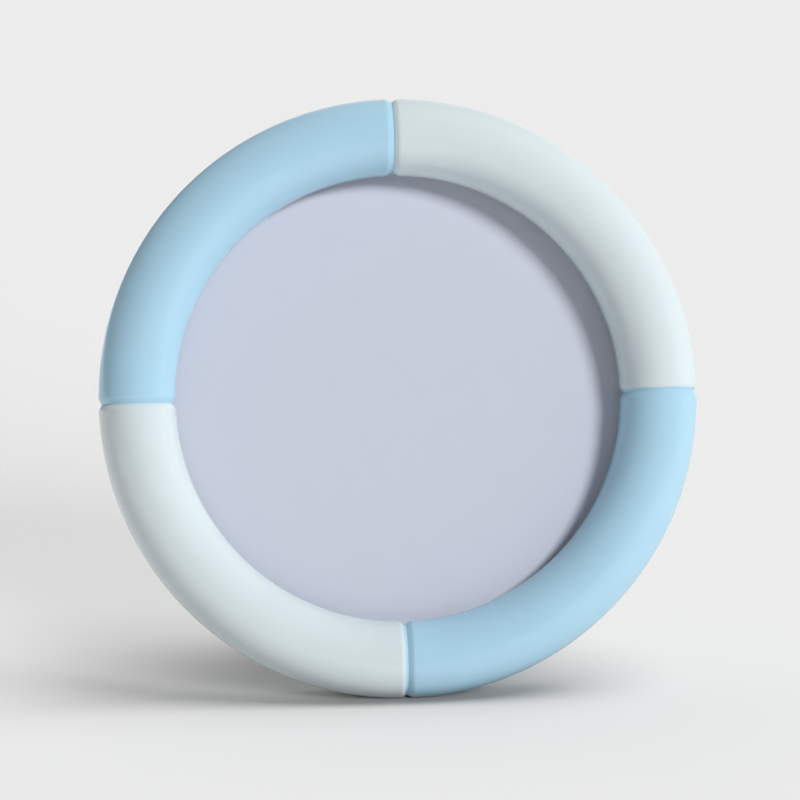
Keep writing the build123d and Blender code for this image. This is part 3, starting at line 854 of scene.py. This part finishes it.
def button_outline(fittings, inset, steps=72):
    """Points round a turn button, drawn in by this inset: a round end, drawn in to a smaller round tip."""
    pivot_radius = fittings.button_pivot_radius - inset
    tip_radius = fittings.button_tip_radius - inset
    reach = fittings.button_reach
    # Both ends touch the straight sides at this angle from the button's own direction
    touch = acos((fittings.button_pivot_radius - fittings.button_tip_radius) / reach)
    for step in range(steps):
        turn = -pi + 2 * pi * step / steps
        out = pivot_radius
        if abs(turn) < touch:
            # Between the ends, the ray from the pivot meets the straight side or the round tip
            side_reach = pivot_radius / cos(abs(turn) - touch)
            tip_reach = reach * cos(turn) + sqrt(max(tip_radius**2 - (reach * sin(turn)) ** 2, 0.0))
            meets_tip = side_reach * cos(turn) > reach + tip_radius * cos(touch)
            out = tip_reach if meets_tip else side_reach
        yield out * cos(turn), out * sin(turn)


def button_mesh(name, fittings, place, rollover_steps=5):
    """A stamped turn button: crisp underneath, rounded over on top, with a hole for its screw."""
    thickness = fittings.button_thickness
    burr = fittings.button_burr
    rollover = fittings.button_edge_radius
    # Each level is (inset, height), from the underside's rim up over the top's
    levels = [(burr, 0.0), (0.0, burr)]
    for step in range(rollover_steps + 1):
        turn = pi / 2 * step / rollover_steps
        levels.append((rollover * (1 - cos(turn)), thickness - rollover * (1 - sin(turn))))
    shape = bmesh.new()
    loops = []
    for inset, height in levels:
        loops.append([shape.verts.new((x, y, height)) for x, y in button_outline(fittings, inset)])
    hole_radius = fittings.screw_radius + fittings.screw_clearance
    turns = [-pi + 2 * pi * step / len(loops[0]) for step in range(len(loops[0]))]
    for height in (thickness, 0.0):
        hole = [(hole_radius * cos(turn), hole_radius * sin(turn), height) for turn in turns]
        loops.append([shape.verts.new(corner) for corner in hole])
    for loop, following in zip(loops, loops[1:] + loops[:1]):
        bridge(shape, loop, following)
    mesh = shape_mesh(name, shape, place)
    mesh.shade_smooth()
    mesh.set_sharp_from_angle(angle=radians(40))
    return mesh


def cross_recess(fittings):
    """A cross that is sunk into a screw's head. It starts above the head and narrows to its floor."""
    half_length = fittings.recess_length / 2
    half_width = fittings.recess_width / 2
    depth = fittings.recess_depth
    arm = [(half_length, -half_width), (half_length, half_width), (half_width, half_width)]
    turns = [Matrix.Rotation(quarter * pi / 2, 2) for quarter in range(4)]
    corners = [turn @ Vector(corner) for turn in turns for corner in arm]
    head_top = fittings.button_thickness + fittings.screw_head_height
    shape = bmesh.new()
    loops = []
    for height, taper_share in ((head_top + depth, 1.25), (head_top - depth, 0.75)):
        loops.append([shape.verts.new((*(corner * taper_share), height)) for corner in corners])
    bridge(shape, *loops)
    for loop in loops:
        shape.faces.new(loop)
    return shape_mesh("cross_recess", shape, Matrix())


class PHOTOFRAME_OT_buttons(bpy.types.Operator):
    """Stamp the four turn buttons and drive their cross-head screws"""

    bl_idname = "photoframe.buttons"
    bl_label = "Turn Buttons"

    def execute(self, context):
        fittings = context.scene.fitting_settings
        plate = nickel_plate("nickel_plated_stamping", fittings.steel)
        for name, pivot in zip(quarter_names, button_pivots):
            place = placed(pivot, (back_centre - pivot).normalized(), -towards_viewer)
            piece_name = "stamped_button_" + name
            button = new_piece(piece_name, button_mesh(piece_name, fittings, place))
            button.data.materials.append(plate)
            seat(button, "button_" + name, "plated_steel", "turn_button_" + name)

        under_head = fittings.button_thickness
        head_top = under_head + fittings.screw_head_height
        rounding = fittings.screw_head_edge_radius
        tip = under_head - fittings.screw_length
        outline = [
            (0.0, tip),
            (fittings.screw_radius, tip + fittings.screw_point),
            (fittings.screw_radius, under_head),
            (fittings.screw_head_radius, under_head),
        ]
        rim = fittings.screw_head_radius - rounding
        outline += arc_points(rim, head_top - rounding, rounding, 0.0, pi / 2, steps=8)
        outline.append((0.0, head_top))
        recess = new_piece("cross_recess", cross_recess(fittings))
        tree = turned_tree("turned_screws", round_sweep_tree(), has_recess=True)
        places = button_pivots
        axis = -towards_viewer
        name = "cross_head_screws"
        screws = turn_pieces(name, tree, outline, places, axis, plate, twist=2 * pi, recess=recess)
        bpy.data.objects.remove(recess)
        seat(screws, "frame", "plated_steel", "turn_button_screws")
        return {"FINISHED"}


# The hinge


def rolled_leaf(name, hinge, own_knuckles, place, corner_steps=8, roll_steps=30):
    """A hinge leaf: a plate with two round corners, notched for the other leaf and rolled round the pin."""
    near = hinge.knuckle_radius - hinge.leaf_thickness
    half_width = hinge.hinge_width / 2
    notch = -hinge.knuckle_radius
    corner = hinge.leaf_corner_radius
    outline = []
    for side, start in ((-1, -pi), (1, -pi / 2)):
        for out, rise, *inset in arc_points(0.0, 0.0, corner, start, start + pi / 2, corner_steps):
            outline.append((side * (half_width - corner) + out, corner - hinge.leaf_length + rise))
    # The upper edge runs back from the right to the left, up to the pin at each of this leaf's own knuckles
    upper = [(half_width, notch)]
    for start, end in reversed(own_knuckles):
        upper += [(end, notch), (end, 0.0), (start, 0.0), (start, notch)]
    upper.append((-half_width, notch))
    outline += [point for point in upper if upper.count(point) == 1]

    shape = bmesh.new()
    plate = shape.faces.new([shape.verts.new((x, y, near)) for x, y in outline])
    raised = bmesh.ops.extrude_face_region(shape, geom=[plate])["geom"]
    raised_corners = [item for item in raised if isinstance(item, bmesh.types.BMVert)]
    bmesh.ops.translate(shape, verts=raised_corners, vec=(0.0, 0.0, hinge.leaf_thickness))
    shape.normal_update()
    tab_ends = [
        face for face in shape.faces if all(abs(vertex.co.y) < weld_distance for vertex in face.verts)
    ]
    for face in tab_ends:
        bmesh.ops.spin(
            shape,
            geom=[face, *face.edges, *face.verts],
            cent=(0.0, 0.0, 0.0),
            axis=(1.0, 0.0, 0.0),
            angle=-hinge.roll_angle,
            steps=roll_steps,
            use_merge=False,
        )
    return new_piece(name, shape_mesh(name, shape, place))


def dome(radius, height, base, steps=8):
    """Points of a rivet's domed head, from its rim at this base to its top. A negative height points down."""
    curve_radius = (radius**2 + height**2) / (2 * abs(height))
    reach = asin(radius / curve_radius)
    way = 1 if height > 0 else -1
    centre = base + height - way * curve_radius
    for step in range(steps + 1):
        turn = reach * (1 - step / steps)
        yield curve_radius * sin(turn), centre + way * curve_radius * cos(turn)


class PHOTOFRAME_OT_hinge(bpy.types.Operator):
    """Roll the two hinge leaves, put in the pin and set the rivets"""

    bl_idname = "photoframe.hinge"
    bl_label = "Hinge"

    def execute(self, context):
        hinge = context.scene.hinge_settings
        plate = nickel_plate("nickel_plated_hinge", context.scene.fitting_settings.steel)
        board_place = placed(pin_centre, across, towards_viewer)
        leg_place = placed(pin_centre, -across, behind_leg)
        half_width = hinge.hinge_width / 2
        knuckle = (hinge.hinge_width - 2 * hinge.knuckle_gap) / 3
        outer_knuckles = [(-half_width, knuckle - half_width), (half_width - knuckle, half_width)]
        middle_knuckle = [(-knuckle / 2, knuckle / 2)]
        for name, node, body, knuckles, place in (
            ("rolled_board_leaf", "hinge_board_leaf", "frame", outer_knuckles, board_place),
            ("rolled_leg_leaf", "hinge_leg_leaf", "leg", middle_knuckle, leg_place),
        ):
            leaf = rolled_leaf(name, hinge, knuckles, place)
            round_edges(leaf, hinge.leaf_burr, plate)
            seat(leaf, body, "plated_steel", node)

        # The pin is headed at both ends
        near = hinge.knuckle_radius - hinge.leaf_thickness
        neck = half_width + hinge.knuckle_gap
        end = neck + hinge.pin_head_thickness
        rounding = hinge.pin_head_edge_radius
        rim = hinge.pin_head_radius - rounding
        upper = [(near - hinge.pin_clearance, neck), (hinge.pin_head_radius, neck)]
        upper += arc_points(rim, end - rounding, rounding, 0.0, pi / 2, steps=6)
        upper.append((0.0, end))
        lower = [(point[0], -point[1]) for point in reversed(upper)]
        tree = turned_tree("turned_rivets", round_sweep_tree(), has_recess=False)
        pin = turn_pieces("headed_hinge_pin", tree, lower + upper, [pin_centre], across, plate)
        seat(pin, "frame", "plated_steel", "hinge_pin")

        head = hinge.rivet_head_height
        for name, node, body, place, far in (
            ("board_leaf_rivets", "board_rivets", "frame", board_place, hinge.board_rivet_reach),
            ("leg_leaf_rivets", "leg_rivets", "leg", leg_place, hinge.leg_rivet_reach),
        ):
            outline = [*dome(hinge.rivet_head_radius, -head, near)][::-1]
            outline += [(hinge.rivet_radius, near), (hinge.rivet_radius, far)]
            outline += dome(hinge.rivet_head_radius, head, far)
            sides = (-hinge.rivet_spacing / 2, hinge.rivet_spacing / 2)
            places = [place @ Vector((side, -hinge.rivet_drop, 0.0)) for side in sides]
            axis = (place.to_3x3() @ Vector((0, 0, 1))).normalized()
            rivets = turn_pieces(name, tree, outline, places, axis, plate)
            seat(rivets, body, "plated_steel", node)
        return {"FINISHED"}


# Stage


def studio_floor(paper):
    """Seamless studio paper, matt and plain. Its own lamps are set so that it meets the backdrop."""
    material, tree, place = new_material("seamless_studio_paper")
    grain = add_node(tree, "ShaderNodeTexNoise", {"Vector": place, "Scale": 1 / (2 * mm), "Detail": 2.0})
    bump = add_node(tree, "ShaderNodeBump", {"Height": grain, "Strength": 0.02, "Distance": 0.05 * mm})
    matt = add_node(tree, "ShaderNodeBsdfDiffuse", {"Color": paper, "Normal": bump})
    add_node(tree, "ShaderNodeOutputMaterial", {"Surface": matt})
    return material


def studio_air(stage):
    """The studio around the frame. The camera sees the backdrop, gloss sees the backdrop and its dark
    surroundings, and the light that fills the shadows comes from behind, from the left and from above."""
    world = bpy.data.worlds.new("studio")
    world.use_nodes = True
    tree = world.node_tree
    tree.nodes.clear()
    direction = add_node(tree, "ShaderNodeTexCoord").outputs["Generated"]
    parts = add_node(tree, "ShaderNodeSeparateXYZ", {"Vector": direction}).outputs
    values = dict(add_node(tree, "ShaderNodeLightPath").outputs.items())

    # The backdrop's edge, as gloss shows it, stands a little further forward on the right than on the left
    slant = {0: parts["X"], 1: 0.33, 2: parts["Y"]}
    edge = add_node(tree, "ShaderNodeMath", slant, operation="MULTIPLY_ADD")

    # Each ramp follows a part of the direction, from a start to an end, and has a brightness at both
    for name, part, start, end, at_start, at_end in (
        ("behind", parts["Y"], -0.2, 0.6, stage.fill_front, stage.fill_behind),
        ("left wall", parts["X"], -0.4, -0.9, 0.0, stage.fill_left),
        ("ceiling", parts["Z"], 0.4, 0.9, 0.0, stage.fill_above),
        ("backdrop edge", edge, -0.17, -0.07, stage.gloss_front_share, 1.0),
        ("darker above", parts["Z"], 0.1, 0.8, 1.0, stage.gloss_above_share),
        # A black flag behind on the left gives the ring its dark rim there
        ("black flag", parts["X"], 0.0, -0.3, 1.0, stage.gloss_flag_share),
    ):
        ramp = {"Value": part, "From Min": start, "From Max": end, "To Min": at_start, "To Max": at_end}
        values[name] = add_node(tree, "ShaderNodeMapRange", ramp, interpolation_type="SMOOTHSTEP")
    for name, operation, *terms in (
        ("walls", "ADD", "behind", "left wall"),
        ("fill", "ADD", "walls", "ceiling"),
        ("without flag", "MULTIPLY", "backdrop edge", "darker above"),
        ("in gloss", "MULTIPLY", "without flag", "black flag"),
        ("seen or reflected", "MAXIMUM", "Is Camera Ray", "Is Glossy Ray"),
        ("seen at all", "MAXIMUM", "seen or reflected", "Is Transmission Ray"),
    ):
        inputs = {index: values[term] for index, term in enumerate(terms)}
        values[name] = add_node(tree, "ShaderNodeMath", inputs, operation=operation)

    shares = {0: 1.0, 6: stage.backdrop, 7: values["in gloss"]}
    reflected = add_node(tree, "ShaderNodeMix", shares, data_type="RGBA", blend_type="MULTIPLY").outputs[2]
    views = {0: values["Is Glossy Ray"], 6: stage.backdrop, 7: reflected}
    view = add_node(tree, "ShaderNodeMix", views, data_type="RGBA").outputs[2]
    rays = {0: values["seen at all"], 6: values["fill"], 7: view}
    shade = add_node(tree, "ShaderNodeMix", rays, data_type="RGBA").outputs[2]
    air = add_node(tree, "ShaderNodeBackground", {"Color": shade, "Strength": 1.0})
    add_node(tree, "ShaderNodeOutputWorld", {"Surface": air})
    return world


def bearing(azimuth, elevation):
    """The direction from the frame at this azimuth, right from the front, and elevation, up from level."""
    return Vector((sin(azimuth) * cos(elevation), -cos(azimuth) * cos(elevation), sin(elevation)))


def soft_sun(stage, name):
    """A far, wide lamp, set by the four stage settings that start with its name."""
    strength, softness, azimuth, elevation = (
        getattr(stage, name + "_" + part) for part in ("strength", "softness", "azimuth", "elevation")
    )
    light = bpy.data.lights.new(name + "_lamp", "SUN")
    light.energy = strength
    light.angle = softness
    lamp = bpy.data.objects.new(name + "_lamp", light)
    lamp.rotation_euler = bearing(azimuth, elevation).to_track_quat("Z", "Y").to_euler()
    bpy.context.scene.collection.objects.link(lamp)
    return lamp


class PHOTOFRAME_OT_stage(bpy.types.Operator):
    """Lay the pale floor and set the soft lights and the camera"""

    bl_idname = "photoframe.stage"
    bl_label = "Stage"

    def execute(self, context):
        stage = context.scene.stage_settings
        ring = context.scene.ring_settings
        disc = bmesh.new()
        bmesh.ops.create_circle(disc, cap_ends=True, segments=96, radius=stage.floor_radius)
        floor_mesh = bpy.data.meshes.new("floor")
        disc.to_mesh(floor_mesh)
        disc.free()
        coat(floor_mesh, studio_floor(stage.floor_paper))
        floor = new_piece("floor", floor_mesh)
        context.scene.world = studio_air(stage)

        # The key comes from the right. It is left out of the gloss, where the satin lacquer shows no lamp.
        key = soft_sun(stage, "key")
        key.visible_glossy = False
        all_but_floor = bpy.data.collections.new("lit_by_key")
        all_but_floor.objects.link(floor)
        all_but_floor.collection_objects[0].light_linking.link_state = "EXCLUDE"
        key.light_linking.receiver_collection = all_but_floor

        # The frame's shadow comes from two broad lamps that light only the floor
        floor_only = bpy.data.collections.new("lit_by_floor_lamps")
        floor_only.objects.link(floor)
        for name in ("low", "high"):
            soft_sun(stage, name).light_linking.receiver_collection = floor_only

        lens = bpy.data.cameras.new("camera")
        lens.sensor_width = 36.0
        lens.lens = stage.camera_lens / mm
        camera = bpy.data.objects.new("camera", lens)
        back = bearing(-stage.camera_azimuth, stage.camera_elevation)
        crown_centre = back_centre + towards_viewer * (ring.ring_back + ring.bar_width / 2)
        aim = crown_centre - Vector((stage.aim_left, 0.0, stage.aim_low))
        camera.location = aim + back * stage.camera_distance
        roll = Matrix.Rotation(-stage.camera_roll, 3, "Z")
        camera.rotation_euler = (back.to_track_quat("Z", "Y").to_matrix() @ roll).to_euler()
        context.scene.collection.objects.link(camera)
        context.scene.camera = camera
        context.scene.view_settings.view_transform = "Standard"
        return {"FINISHED"}


# The add-on


class PHOTOFRAME_PT_panel(bpy.types.Panel):
    """The steps that finish the frame, in order"""

    bl_idname = "PHOTOFRAME_PT_panel"
    bl_label = "Round Photo Frame"
    bl_space_type = "VIEW_3D"
    bl_region_type = "UI"
    bl_category = "Photo Frame"

    def draw(self, context):
        for operator in operators:
            self.layout.operator(operator.bl_idname)
        for name in settings:
            group = getattr(context.scene, name)
            box = self.layout.box()
            for field in group.__annotations__:
                box.prop(group, field)


settings = {
    "ring_settings": RingSettings,
    "picture_settings": PictureSettings,
    "back_settings": BackSettings,
    "fitting_settings": FittingSettings,
    "hinge_settings": HingeSettings,
    "stage_settings": StageSettings,
}
operators = (
    PHOTOFRAME_OT_ring,
    PHOTOFRAME_OT_picture,
    PHOTOFRAME_OT_back,
    PHOTOFRAME_OT_buttons,
    PHOTOFRAME_OT_hinge,
    PHOTOFRAME_OT_stage,
)
classes = (*settings.values(), *operators, PHOTOFRAME_PT_panel)


def register():
    for item in classes:
        bpy.utils.register_class(item)
    for name, group in settings.items():
        setattr(bpy.types.Scene, name, bpy.props.PointerProperty(type=group))


def unregister():
    for name in settings:
        delattr(bpy.types.Scene, name)
    for item in reversed(classes):
        bpy.utils.unregister_class(item)


def main():
    register()
    bpy.ops.photoframe.ring()
    bpy.ops.photoframe.picture()
    bpy.ops.photoframe.back()
    bpy.ops.photoframe.buttons()
    bpy.ops.photoframe.hinge()
    bpy.ops.photoframe.stage()


if __name__ == "__main__":
    main()
